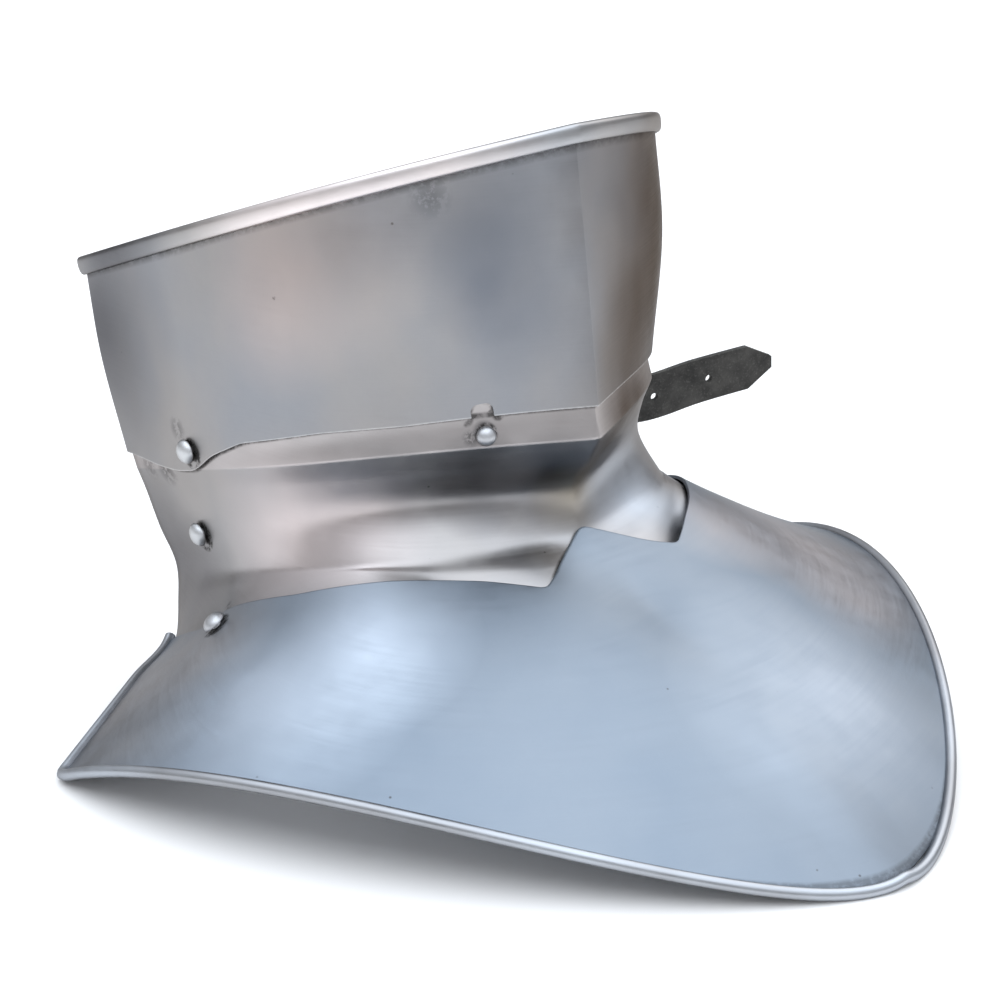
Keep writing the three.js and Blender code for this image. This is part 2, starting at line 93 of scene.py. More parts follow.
def surface_through(rings):
    last = len(rings) - 1

    def on_curve(t, v):
        stations = np.array([ring(t) for ring in rings])
        before, after = 2 * stations[:1] - stations[1:2], 2 * stations[-1:] - stations[-2:-1]
        knots = np.concatenate([before, stations, after])
        k = np.clip(v.astype(int), 0, last - 1)
        w = (v - k)[:, None]
        p0, p1, p2, p3 = (knots[k + i, np.arange(len(t))] for i in range(4))
        d0, d1, d2 = (np.linalg.norm(b - a, axis=1)[:, None] ** 0.5
                      for a, b in ((p0, p1), (p1, p2), (p2, p3)))
        m1 = ((p1 - p0) / d0 - (p2 - p0) / (d0 + d1) + (p2 - p1) / d1) * d1
        m2 = ((p2 - p1) / d1 - (p3 - p1) / (d1 + d2) + (p3 - p2) / d2) * d1
        return p1 + m1 * w + (3 * (p2 - p1) - 2 * m1 - m2) * w ** 2 + (2 * (p1 - p2) + m1 + m2) * w ** 3

    def at(s, v):
        held = np.clip(v, 0, last)
        step = np.where(v < held, -0.05, 0.05)
        point = on_curve(abs(s), held)
        out = v != held
        if out.any():
            before = on_curve(abs(s), held - step)
            onward = point + (point - before) * ((v - held) / step)[:, None]
            point = np.where(out[:, None], onward, point)
        point[s < 0, 0] *= -1
        return point

    return at


def outward(at, s, v):
    step = 1e-3
    along = at(s + step, v) - at(np.where(s == 0, 0, s - step), v)
    down = at(s, v + step) - at(s, v - step)
    normal = np.cross(down, along)
    normal /= np.linalg.norm(normal, axis=1)[:, None]
    keel = s == 0
    normal[keel, 0] = 0
    normal[keel] /= (normal[keel] ** 2).sum(1)[:, None]
    return normal


def inset(at, depth):
    return lambda s, v: at(s, v) - depth * outward(at, s, v)


def held_ring(at, v):
    return lambda t: at(t, np.full(len(t), float(v)))


def ring_between(share):
    a, b = np.array(FLARE_END) * JAW, np.array(BORDER) * BIB
    corners = a + (b - a) * share
    corners[:2, 2] += BIB_CROWN
    return ring_curve(corners, 1)


face_at = surface_through([ring_curve(row, JAW) for row in FACE_RINGS])
tucked_at = inset(face_at, WALL + TUCK_GAP)
gorget_at = surface_through([
    ring_curve(FLARE_START, JAW), ring_curve(FLARE_END, JAW), ring_between(0.33), ring_between(0.67),
    ring_curve(BORDER, BIB),
])
lapped_at = inset(gorget_at, WALL + LAP_GAP)


def sunk_ring(v, share):
    def points(t):
        sunk = share * STAND_OFF * np.sin(np.pi * np.clip((t - STAND_FROM) / STAND_RUN, 0, 1)) ** 2
        ring = np.full(len(t), float(v))
        return lapped_at(t, ring) - sunk[:, None] * outward(lapped_at, t, ring)
    return points


def creased(rings, ridge):
    upper, lower = surface_through(rings[:ridge + 1]), surface_through(rings[ridge:])

    def at(s, v):
        below = (v > ridge)[:, None]
        return np.where(below, lower(s, v - ridge), upper(s, v))

    return at


neck_at = creased([
    held_ring(tucked_at, 1.7), held_ring(tucked_at, 2), *[ring_curve(row, JAW) for row in NECK_RINGS],
    sunk_ring(0, 0), sunk_ring(0.5, 0.4), sunk_ring(1, 1), sunk_ring(1.3, 1), sunk_ring(1.6, 1),
], 2)
print("rim at the keel:", face_at(np.array([0.0]), np.array([0.0]))[0] + FRAME_SHIFT)

# %% [markdown]
# A real plate is cut from sheet steel and then raised with hammers. Here a flat grid takes the
# sheet's place. Each grid point is laid on the surface, the Solidify modifier gives the sheet its
# wall, and a small Bevel breaks the cut edges as a file would. The grid's own rows and columns
# are kept as a UV map, so that the steel's marks can follow the plate.


# %% A sheet on a surface
KEEL_CROWDING, KEEL_FADE = 0.4, 0.2


def only(obj):
    bpy.ops.object.select_all(action="DESELECT")
    obj.select_set(True)
    bpy.context.view_layer.objects.active = obj


def apply_modifiers(obj):
    only(obj)
    for modifier in list(obj.modifiers):
        bpy.ops.object.modifier_apply(modifier=modifier.name)


def soft_edge(stations, s, blur=0.012):
    shares, values = np.array(stations).T
    shifts = (-1, -0.5, 0, 0.5, 1)
    return sum(np.interp(abs(abs(s) + shift * blur), shares, values) for shift in shifts) / len(shifts)


def to_frame(points):
    return (points + FRAME_SHIFT) / 1000


def sheet(name, at, upper, lower, columns, rows, keel_round):
    bpy.ops.object.select_all(action="DESELECT")
    bpy.ops.mesh.primitive_grid_add(x_subdivisions=columns, y_subdivisions=rows, size=2)
    plate = bpy.context.object
    plate.name = name
    mesh = plate.data
    flat = np.zeros(len(mesh.vertices) * 3)
    mesh.vertices.foreach_get("co", flat)
    u, w = np.round(flat.reshape(-1, 3)[:, :2], 6).T
    s = u * (1 - KEEL_CROWDING + KEEL_CROWDING * abs(u))
    share = (1 - w) / 2
    v = upper(s) + (lower(s) - upper(s)) * share
    points = at(s, v)
    radius = keel_round[0] + (keel_round[1] - keel_round[0]) * share
    fade = np.clip(1.5 - abs(s) / KEEL_FADE, 0, 1)
    rounded = at(abs(s) + (np.sqrt(s ** 2 + radius ** 2) - abs(s)) * fade, v)
    points[:, 1:] = rounded[:, 1:]
    mesh.vertices.foreach_set("co", to_frame(points).ravel())
    layer = mesh.uv_layers[0]
    layer.name = "plate"
    for loop in mesh.loops:
        i = loop.vertex_index
        layer.data[loop.index].uv = ((s[i] + 1) / 2, 1 - share[i])
    wall = plate.modifiers.new("wall", "SOLIDIFY")
    wall.thickness, wall.offset = WALL / 1000, -1
    apply_modifiers(plate)
    print(name, len(mesh.polygons), "faces")
    return plate


def flat_at(value):
    return lambda s: np.full(len(s), float(value))


FACE_EDGE = [
    (0, 2), (0.33, 1.99), (0.51, 1.95), (0.7, 1.95), (0.775, 2.04), (0.82, 2.17), (0.87, 2.17),
    (0.92, 2.12), (1, 1.99),
]
GORGET_EDGE = [
    (0, 0), (0.235, 1), (0.35, 0.95), (0.53, 1), (0.7, 1.13), (0.82, 1.08), (0.86, 1.14),
    (0.885, 1.35), (1, 1.1),
]
face_plate = sheet(
    "face_plate_steel", face_at, flat_at(0), lambda s: soft_edge(FACE_EDGE, s), 240, 90, (0.0015, 0.0015))
neck_plate = sheet("neck_plate_steel", neck_at, flat_at(0), flat_at(9), 220, 126, (0.004, 0.012))
gorget_plate = sheet(
    "gorget_plate_steel", gorget_at, lambda s: soft_edge(GORGET_EDGE, s), flat_at(4), 240, 110, (0.02, 0.09))

# %% [markdown]
# The face plate has a notch in its lower edge that comes down round the catch stud, and the stud
# goes through a hole in the neck plate. Both are cut as a smith cuts them, straight through the
# sheet along the stud's axis. The hole's cutter is a cylinder. The notch's is a thick tile with
# round upper corners, whose foot is flared where the file has eased the notch's mouth.

# %% Seats and cuts
PIVOT_SEAT, STRAP_SEAT, GORGET_SEAT, STUD_SEAT = (0.833, 1.98), (0.883, 4.16), (0.852, 1.38), (-0.175, 1.6)
DROP = math.radians(4)
NOTCH_HALF, NOTCH_CORNER, MOUTH_DOWN, MOUTH_FLARE = 4.3, 2.8, 0.3, 2.2
SLOT_FOOT, SLOT_REACH = 14, 8
STUD_HOLE_RADIUS, HOLE_CUTTER_LENGTH = 2.9, 12


def seat(at, s, v):
    s, v = np.array([float(s)]), np.array([float(v)])
    normal = Vector(outward(at, s, v)[0])
    turn = Vector((0, 0, 1)).rotation_difference(normal).to_matrix().to_4x4()
    return Matrix.Translation(Vector(to_frame(at(s, v))[0])) @ turn


def cut(plate, cutter):
    step = plate.modifiers.new("cut", "BOOLEAN")
    step.operation, step.object, step.solver = "DIFFERENCE", cutter, "EXACT"
    apply_modifiers(plate)
    bpy.data.objects.remove(cutter)


def pin(radius, depth):
    bpy.ops.object.select_all(action="DESELECT")
    bpy.ops.mesh.primitive_cylinder_add(vertices=48, radius=radius / 1000, depth=depth / 1000)
    return bpy.context.object


stud_seat = seat(neck_at, *STUD_SEAT)
hole = pin(STUD_HOLE_RADIUS, HOLE_CUTTER_LENGTH)
hole.data.transform(stud_seat)
cut(neck_plate, hole)

pivot = Vector(to_frame(face_at(np.array([PIVOT_SEAT[0]]), np.array([PIVOT_SEAT[1]])))[0])
pivot.x = 0
raised = Matrix.Translation(pivot) @ Matrix.Rotation(-DROP, 4, "X") @ Matrix.Translation(-pivot)
stud_axis = stud_seat.to_3x3() @ Vector((0, 0, 1))
arm = stud_seat.translation - pivot
downwards = Vector((0, -arm.z, arm.y))
downwards = (downwards - downwards.dot(stud_axis) * stud_axis).normalized()
across = downwards.cross(stud_axis)


def quarter(centre, radius, start, end, steps=8):
    turns = np.linspace(start, end, steps)
    return [(centre[0] + radius * math.cos(a), centre[1] + radius * math.sin(a)) for a in turns]


right_angle = math.pi / 2
right_side = [
    *quarter((NOTCH_HALF - NOTCH_CORNER, NOTCH_CORNER - NOTCH_HALF), NOTCH_CORNER, -right_angle, 0),
    *quarter((NOTCH_HALF + MOUTH_FLARE, MOUTH_DOWN), MOUTH_FLARE, 2 * right_angle, right_angle),
    (NOTCH_HALF + MOUTH_FLARE, SLOT_FOOT),
]
outline = right_side + [(-x, y) for x, y in reversed(right_side)]
bpy.ops.object.select_all(action="DESELECT")
bpy.ops.mesh.primitive_circle_add(vertices=len(outline), radius=1, fill_type="NGON")
slot = bpy.context.object
for vertex, (x, y) in zip(slot.data.vertices, outline):
    vertex.co = stud_seat.translation + (across * x + downwards * y - stud_axis * SLOT_REACH) / 1000
bpy.ops.object.mode_set(mode="EDIT")
bpy.ops.mesh.select_all(action="SELECT")
bpy.ops.mesh.extrude_region_move(TRANSFORM_OT_translate={"value": stud_axis * (2 * SLOT_REACH / 1000)})
bpy.ops.mesh.select_all(action="SELECT")
bpy.ops.mesh.normals_make_consistent(inside=False)
bpy.ops.object.mode_set(mode="OBJECT")
slot.data.transform(raised)
cut(face_plate, slot)
print("stud at", stud_seat.translation, "notch", 2 * NOTCH_HALF, "mm wide")

# %% [markdown]
# Files and polish leave every cut edge a little round. The bevel works only on edges that turn
# by more than fifty degrees, so the keel stays as it was hammered.

# %% Broken edges and smooth shading
def round_edges(obj, width, segments, turn, smooth=40):
    step = obj.modifiers.new("round edges", "BEVEL")
    step.width, step.segments = width, segments
    step.limit_method, step.angle_limit = "ANGLE", math.radians(turn)
    apply_modifiers(obj)
    bpy.ops.object.shade_smooth_by_angle(angle=math.radians(smooth))


round_edges(face_plate, 0.0003, 2, 50, smooth=18)
round_edges(neck_plate, 0.0003, 2, 50)
round_edges(gorget_plate, 0.0003, 2, 50)
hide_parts("face_plate")
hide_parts("neck_plate")
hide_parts("gorget_plate")
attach(face_plate, "face_body")
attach(neck_plate, "gorget_body")
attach(gorget_plate, "gorget_body")

# %% [markdown]
# A thin shadow line is painted where one plate laps another. The neck plate gets an attribute that
# says how far each of its points is from the two edges that lie on it, and from the notch.

# %% Distance to the laps
def on_plate(points):
    return [Vector(point) for point in to_frame(points)]


run_of_side = np.linspace(-1, 1, 2401)
notch_line = [
    raised @ (stud_seat.translation + (across * x + downwards * y) / 1000)
    for x, y in outline if y < SLOT_FOOT
]
lap_line = [
    *on_plate(tucked_at(run_of_side, soft_edge(FACE_EDGE, run_of_side))),
    *on_plate(lapped_at(run_of_side, soft_edge(GORGET_EDGE, run_of_side))), *notch_line,
]
nearest = KDTree(len(lap_line))
for i, point in enumerate(lap_line):
    nearest.insert(point, i)
nearest.balance()
lap = neck_plate.data.attributes.new("lap", "FLOAT", "POINT")
lap.data.foreach_set("value", [nearest.find(vertex.co)[2] * 1000 for vertex in neck_plate.data.vertices])
print("lap line has", len(lap_line), "points")

# %% [markdown]
# The rim and the gorget's border are rolled outwards over a wire, which stiffens them and keeps
# the edge from cutting. The rim's roll has been hammered flatter than the border's. A tube is
# laid along each edge: a cylinder has as many rings as the path has points, and each ring gets
# the roll's section, out from the plate and up along it.

# %% Rolled edges
RIM_SIZE, RIM_INSIDE, RIM_PAST = (4.6, 7.6), 0.4, 1.5
BORDER_SIZE, BORDER_SINK = (4.6, 4.6), 0.1
SIDE_POINTS, REAR_POINTS, ROLL_SIDES = 241, 60, 28


def roll(name, centres, out, size, flatness, body):
    count, sides = len(centres), ROLL_SIDES
    bpy.ops.object.select_all(action="DESELECT")
    bpy.ops.mesh.primitive_grid_add(x_subdivisions=count - 1, y_subdivisions=sides, size=2)
    bar = bpy.context.object
    bar.name = name
    flat = np.zeros(len(bar.data.vertices) * 3)
    bar.data.vertices.foreach_get("co", flat)
    along_share, round_share = ((flat.reshape(-1, 3)[:, :2] + 1) / 2).T
    station = np.round(along_share * (count - 1)).astype(int)
    tangent = np.gradient(centres, axis=0)
    tangent /= np.linalg.norm(tangent, axis=1)[:, None]
    out = out - (out * tangent).sum(1)[:, None] * tangent
    out /= np.linalg.norm(out, axis=1)[:, None]
    up = np.cross(tangent, out)
    angle = np.round(round_share * sides) / sides * 2 * np.pi
    bent = [np.sign(f(angle)) * abs(f(angle)) ** (2 / flatness) for f in (np.cos, np.sin)]
    aside = out[station] * (bent[0] * size[0] / 2)[:, None]
    above = up[station] * (bent[1] * size[1] / 2)[:, None]
    bar.data.vertices.foreach_set("co", to_frame(centres[station] + aside + above).ravel())
    bpy.ops.object.mode_set(mode="EDIT")
    bpy.ops.mesh.select_all(action="SELECT")
    bpy.ops.mesh.remove_doubles(threshold=1e-6)
    bpy.ops.mesh.fill_holes(sides=sides)
    bpy.ops.mesh.select_all(action="SELECT")
    bpy.ops.mesh.normals_make_consistent(inside=False)
    bpy.ops.object.mode_set(mode="OBJECT")
    round_edges(bar, 0.0005, 3, 60)
    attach(bar, body)
    print(name, len(bar.data.polygons), "faces")
    return bar


def rounded_corners(points, passes=2):
    for _ in range(passes):
        points[1:-1] = 0.25 * points[:-2] + 0.5 * points[1:-1] + 0.25 * points[2:]
    return points


side = np.linspace(-1, 1, SIDE_POINTS)
rim_out = outward(face_at, side, np.zeros(SIDE_POINTS))
rim_centres = face_at(side, np.zeros(SIDE_POINTS)) + (RIM_SIZE[0] / 2 - WALL - RIM_INSIDE) * rim_out
ends = [points[0] + (points[0] - points[1]) * RIM_PAST / np.linalg.norm(points[0] - points[1])
        for points in (rim_centres, rim_centres[::-1])]
rim_roll = roll(
    "rim_roll", np.r_[ends[:1], rim_centres, ends[1:]], np.r_[rim_out[:1], rim_out, rim_out[-1:]],
    RIM_SIZE, 2.8, "face_body")

up_side = np.linspace(1.02, 3.96, REAR_POINTS)
shares = np.r_[np.full(REAR_POINTS, -1.0), side[1:-1], np.full(REAR_POINTS, 1.0)]
numbers = np.r_[up_side, np.full(SIDE_POINTS - 2, 4.0), up_side[::-1]]
border_out = outward(gorget_at, shares, numbers)
border_centres = rounded_corners(gorget_at(shares, numbers) - BORDER_SINK * border_out)
border_roll = roll("border_roll", border_centres, border_out, BORDER_SIZE, 2, "gorget_body")

# %% [markdown]
# The rivets are domed steel. A sphere is halved, flattened to the dome's height and joined to its
# shank and its inner tail. One rivet is modelled at the origin and copied to each seat, and the
# catch stud is the same shape, smaller, on a longer neck.

# %% Rivets and catch stud
SHANK_INTO_DOME, TAIL_HEIGHT = 0.4, 1.4


def domed_pin(name, head, dome, base, shank, length, tail):
    bpy.ops.object.select_all(action="DESELECT")
    bpy.ops.mesh.primitive_uv_sphere_add(segments=48, ring_count=32, radius=head / 2000)
    made = bpy.context.object
    made.name = name
    bpy.ops.object.mode_set(mode="EDIT")
    bpy.ops.mesh.select_all(action="SELECT")
    bpy.ops.mesh.bisect(plane_co=(0, 0, 0), plane_no=(0, 0, 1), clear_inner=True, use_fill=True)
    bpy.ops.mesh.select_all(action="SELECT")
    bpy.ops.transform.resize(value=(1, 1, dome / (head / 2)))
    bpy.ops.transform.translate(value=(0, 0, base / 1000))
    bpy.ops.mesh.primitive_cylinder_add(
        vertices=32, radius=shank / 2000, depth=(length + base + SHANK_INTO_DOME) / 1000,
        location=(0, 0, (base - length + SHANK_INTO_DOME) / 2000))
    bpy.ops.mesh.primitive_cylinder_add(
        vertices=32, radius=tail / 2000, depth=TAIL_HEIGHT / 1000,
        location=(0, 0, -(length + TAIL_HEIGHT / 2) / 1000))
    bpy.ops.object.mode_set(mode="OBJECT")
    round_edges(made, 0.0003, 2, 60)
    return made


def placed(pattern, name, place, node, body):
    piece = pattern.copy()
    piece.data = pattern.data.copy()
    piece.name = name
    bpy.context.scene.collection.objects.link(piece)
    piece.data.transform(place)
    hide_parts(node)
    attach(piece, body)
    return piece


RIVETS = [
    ("pivot", face_at, PIVOT_SEAT, 4.2), ("strap", neck_at, STRAP_SEAT, 5.5),
    ("gorget", gorget_at, GORGET_SEAT, 5.2),
]
pieces_steel = []
for kind, at, (s, v), length in RIVETS:
    pattern = domed_pin(kind + "_rivet", head=10, dome=3.4, base=0.55, shank=4.5, length=length, tail=8)
    for sign, name in ((-1, "right"), (1, "left")):
        node = f"{kind}_rivet_{name}"
        pieces_steel.append(placed(pattern, node + "_dome", seat(at, sign * s, v), node, "gorget_body"))
    bpy.data.objects.remove(pattern)
pattern = domed_pin("stud", head=7.7, dome=3, base=3, shank=4, length=3, tail=7.5)
pieces_steel.append(placed(pattern, "catch_stud_dome", stud_seat, "catch_stud", "stud_body"))
bpy.data.objects.remove(pattern)
print([piece.name for piece in pieces_steel])

# %% [markdown]
# The strap is one piece of stiff leather, riveted inside the left of the neck. It runs back along
# the wall, turns out past the rear edge and stands off to the side as it does in the photograph.
# A flat grid is laid along that path, tapered to its tip, and given the leather's thickness.

# %% Strap
STRAP_WIDTH, STRAP_WALL, STRAP_GAP = 22, 2.8, 1
TIP_LENGTH, TIP_SHARE, ROUND_START, BLUNT = 14, 0.25, 6, 2
RIPPLE_HEIGHT, RIPPLE_LENGTH, UPRIGHT_BY = 0.35, 17, 0.2
HOLES_FROM_TIP, HOLE_RADIUS, AWL_LENGTH = (36, 65.5), 1.8, 10
START_STEPS = [(-0.03, 0), (0, 0), (0.04, 0.8), (0.075, 2)]
ROUTE = np.array([
    (0.86, 0.96, 0.235), (0.98, 1.07, 0.225), (1.2, 1.07, 0.205), (1.5, 0.95, 0.185), (1.87, 0.8, 0.175),
    (2.16, 0.71, 0.197), (2.57, 0.62, 0.213),
]) * JAW
seat_s, seat_v = STRAP_SEAT
in_wall = []
for step, off in START_STEPS:
    beside_wall = inset(neck_at, WALL + STRAP_GAP + STRAP_WALL / 2 + off)
    in_wall.append(beside_wall(np.array([seat_s + step]), np.array([seat_v]))[0])
knots = [lambda t, p=p: np.repeat(p[None], len(t), 0) for p in [*in_wall, *ROUTE]]
path_at = surface_through(knots)
fine = np.linspace(0, len(knots) - 1, 2001)
path = path_at(np.zeros(2001), fine)
run = np.r_[0, np.cumsum(np.linalg.norm(np.diff(path, axis=0), axis=1))]
length = run[-1]
wall_up = np.diff(neck_at(np.full(2, seat_s), np.array([seat_v + 0.1, seat_v - 0.1])), axis=0)[0]
wall_up /= np.linalg.norm(wall_up)


def unit(vectors):
    return vectors / np.linalg.norm(vectors, axis=1)[:, None]


def on_path(distance):
    return np.array([np.interp(distance, run, path[:, k]) for k in range(3)]).T


def strap_frame(distance):
    along = unit(on_path(distance + 0.5) - on_path(distance - 0.5))
    turn = np.clip(distance / length / UPRIGHT_BY, 0, 1)[:, None]
    up = wall_up * (1 - turn) + np.array([0, 0, 1]) * turn
    across = unit(up - (up * along).sum(1)[:, None] * along)
    return on_path(distance), across, np.cross(along, across)


bpy.ops.object.select_all(action="DESELECT")
bpy.ops.mesh.primitive_grid_add(x_subdivisions=420, y_subdivisions=16, size=2)
strap = bpy.context.object
strap.name = "strap_leather"
flat = np.zeros(len(strap.data.vertices) * 3)
strap.data.vertices.foreach_get("co", flat)
u, w = flat.reshape(-1, 3)[:, :2].T
distance = (u + 1) / 2 * (length - 0.3)
taper = np.clip(TIP_SHARE + (1 - TIP_SHARE) * (length - distance) / TIP_LENGTH, TIP_SHARE, 1)
round_start = np.sqrt(np.clip((distance + BLUNT) / (ROUND_START + BLUNT), 0, 1))
taper = np.where(distance < ROUND_START, np.minimum(taper, round_start), taper)
place, across, through = strap_frame(distance)
ripple = RIPPLE_HEIGHT * np.sin(distance / RIPPLE_LENGTH) * w
points = place + across * (w * taper * STRAP_WIDTH / 2)[:, None] + through * ripple[:, None]
strap.data.vertices.foreach_set("co", to_frame(points).ravel())
wall = strap.modifiers.new("leather", "SOLIDIFY")
wall.thickness, wall.offset = STRAP_WALL / 1000, 0
apply_modifiers(strap)
for from_tip in HOLES_FROM_TIP:
    place, across, through = strap_frame(np.array([length - from_tip]))
    awl = pin(HOLE_RADIUS, AWL_LENGTH)
    awl.data.transform(Matrix.Translation(Vector(to_frame(place)[0]))
                       @ Vector((0, 0, 1)).rotation_difference(Vector(through[0])).to_matrix().to_4x4())
    cut(strap, awl)
round_edges(strap, 0.0005, 3, 50)
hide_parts("strap")
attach(strap, "gorget_body")
print("strap", round(float(length)), "mm long")

# %% [markdown]
# Polished steel is never one grey. Broad patches lean to warm or cool, the polishing belt leaves
# fine lines that run round the plate, and small pits and specks stay dark. One node group makes
# these for every steel piece, and each material gives it its own two tints.

# %% Steel surface group
def new_group(name, inputs, outputs):
    tree = bpy.data.node_groups.new(name, "ShaderNodeTree")
    for kind, sockets in (("INPUT", inputs), ("OUTPUT", outputs)):
        for label, socket_type in sockets:
            tree.interface.new_socket(label, in_out=kind, socket_type=socket_type)
    return tree, tree.nodes.new("NodeGroupInput"), tree.nodes.new("NodeGroupOutput")


def add_node(tree, kind, settings=None, **sockets):
    made = tree.nodes.new(kind)
    for key, value in (settings or {}).items():
        setattr(made, key, value)
    for key, value in sockets.items():
        socket = made.inputs[int(key[1:])] if key[0] == "i" and key[1:].isdigit() else made.inputs[key]
        if isinstance(value, bpy.types.NodeSocket):
            tree.links.new(value, socket)
        else:
            socket.default_value = value
    return made


def noise(tree, coords, stretch, detail=3.0, rough=0.5):
    mapping = add_node(tree, "ShaderNodeMapping", Vector=coords, Scale=stretch)
    return add_node(
        tree, "ShaderNodeTexNoise", Vector=mapping.outputs[0], Scale=1.0, Detail=detail, Roughness=rough)


def ranged(tree, value, low, high, to_low=0.0, to_high=1.0):
    return add_node(tree, "ShaderNodeMapRange", i0=value, i1=low, i2=high, i3=to_low, i4=to_high).outputs[0]


def maths(tree, operation, a, b):
    return add_node(tree, "ShaderNodeMath", {"operation": operation}, i0=a, i1=b).outputs[0]


def mixed(tree, factor, a, b, blend="MIX"):
    settings = {"data_type": "RGBA", "blend_type": blend}
    return add_node(tree, "ShaderNodeMix", settings, i0=factor, i6=a, i7=b).outputs[2]


tree, taken, given = new_group(
    "polished steel surface",
    [("Tint", "NodeSocketColor"), ("Second tint", "NodeSocketColor"), ("Roughness", "NodeSocketFloat")],
    [("Color", "NodeSocketColor"), ("Roughness", "NodeSocketFloat"), ("Height", "NodeSocketFloat")])
coords = add_node(tree, "ShaderNodeTexCoord").outputs["Object"]
patches = ranged(tree, noise(tree, coords, (13, 13, 9)).outputs[0], 0.38, 0.62)
clouds = noise(tree, coords, (70, 70, 70), 6.0, 0.6).outputs[0]
belt = noise(tree, coords, (25, 25, 1500), 2.0, 0.6).outputs[0]
pits = add_node(tree, "ShaderNodeTexVoronoi", Vector=coords, Scale=150.0)
rare = add_node(tree, "ShaderNodeSeparateColor", i0=pits.outputs["Color"]).outputs[0]
dot = ranged(tree, pits.outputs["Distance"], 0.1, 0.04)
speck = maths(tree, "MULTIPLY", dot, ranged(tree, rare, 0.93, 0.94))
color = mixed(tree, patches, taken.outputs["Tint"], taken.outputs["Second tint"])
shade = add_node(tree, "ShaderNodeCombineColor")
cloud_level = ranged(tree, clouds, 0.3, 0.7, 0.93, 1.03)
level = maths(tree, "ADD", cloud_level, ranged(tree, belt, 0.3, 0.7, -0.02, 0.02))
for channel in range(3):
    tree.links.new(level, shade.inputs[channel])
color = mixed(tree, 1.0, color, shade.outputs[0], "MULTIPLY")
color = mixed(tree, maths(tree, "MULTIPLY", speck, 0.75), color, (0.05, 0.045, 0.04, 1))
rough = maths(tree, "ADD", taken.outputs["Roughness"], ranged(tree, clouds, 0.3, 0.7, -0.05, 0.06))
rough = maths(tree, "ADD", rough, ranged(tree, belt, 0.3, 0.7, -0.03, 0.04))
tree.links.new(color, given.inputs["Color"])
tree.links.new(rough, given.inputs["Roughness"])
height = maths(tree, "SUBTRACT", maths(tree, "MULTIPLY", belt, 0.25), speck)
tree.links.new(height, given.inputs["Height"])
steel_group = tree
print("steel group:", len(tree.nodes), "nodes")

# %% [markdown]
# Some marks follow the plate's shape, so they read its UV map: a painted shadow line where a roll or
# a lap overhangs the plate, a bright line on the cut edge that is rubbed wear with a painted
# highlight, and a painted lighter sheen on the neck's band above the ridge. Others lie at places:
# broad painted reflections, highlights and shade, and grime with painted contact shadow round the
# rivets. Each of those is a soft ball of colour round a point of the plate.

# %% Steel materials
# The dark tone serves painted shadow lines and grime; the light tone paints a rubbed cut edge together with
# its highlight.
DARK, RUBBED_AND_HIGHLIGHT = (0.03, 0.028, 0.027), (0.85, 0.85, 0.84)
# The neck's band above the ridge, painted a lighter sheen, starts here in the UV map.
SHEEN_BAND_FROM, SHEEN_BAND_TO = 0.772, 0.782


